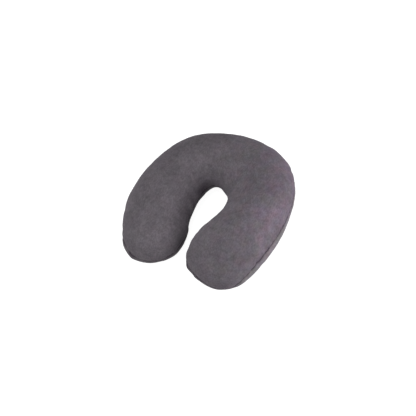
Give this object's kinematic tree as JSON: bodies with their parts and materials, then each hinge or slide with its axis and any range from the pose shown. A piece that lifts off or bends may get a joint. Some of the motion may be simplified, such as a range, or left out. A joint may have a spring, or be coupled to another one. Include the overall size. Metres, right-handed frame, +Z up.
{
  "type": "neck pillow",
  "caption": "U-shaped neck pillow of short-pile cloth, stuffed firm, with rounded arm ends and a drawn-in seam round its outer and inner edge.",
  "frame": {"origin": "middle of the bounding box, on the surface that the pillow rests on", "axes": "+X across the pillow towards its right arm, +Y towards the crown behind the neck, +Z up from the resting side"},
  "size_m": [0.303, 0.2836, 0.0862],
  "materials": {
    "cover": "short-pile velour, matte with a soft sheen"
  },
  "bodies": {
    "root": {"neck_pillow": "cover"}
  },
  "joints": []
}
